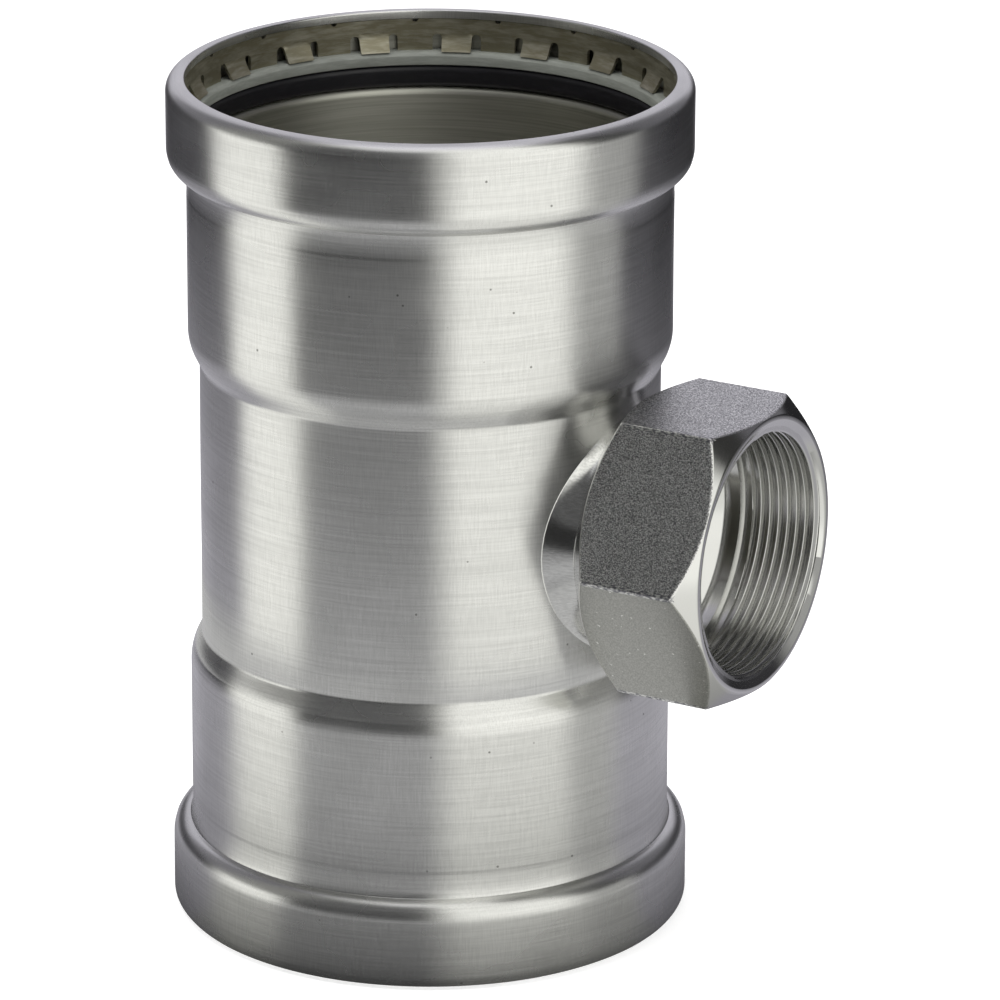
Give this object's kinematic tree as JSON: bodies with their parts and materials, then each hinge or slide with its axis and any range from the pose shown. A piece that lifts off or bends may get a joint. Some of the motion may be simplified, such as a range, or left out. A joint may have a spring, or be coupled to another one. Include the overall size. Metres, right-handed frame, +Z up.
{
  "type": "press tee with threaded branch",
  "caption": "Stainless press tee: straight run tube with a beaded press socket at each end and a hexagon branch with internal parallel pipe thread.",
  "frame": {"origin": "where the centre line of the run crosses the centre line of the branch, on the axis of the run's inner passage", "axes": "+Z up along the run, out of the upper socket; +X along the branch, out of its threaded mouth; +Y completes the right-handed frame"},
  "size_m": [0.1496, 0.1224, 0.203],
  "materials": {
    "body_steel": "fine circular brushing on stainless sheet",
    "hex_steel": "blasted flats, turned cones and bore",
    "seal_rubber": "smooth black rubber",
    "ring_plastic": "satin grey plastic",
    "grip_steel": "dull pressed stainless strip"
  },
  "bodies": {
    "root": {"tee_body": "body_steel", "hex_thread_end": "hex_steel", "upper_seal_ring": "seal_rubber", "upper_spacer_ring": "ring_plastic", "upper_grip_ring": "grip_steel", "lower_seal_ring": "seal_rubber", "lower_spacer_ring": "ring_plastic", "lower_grip_ring": "grip_steel"}
  },
  "joints": []
}
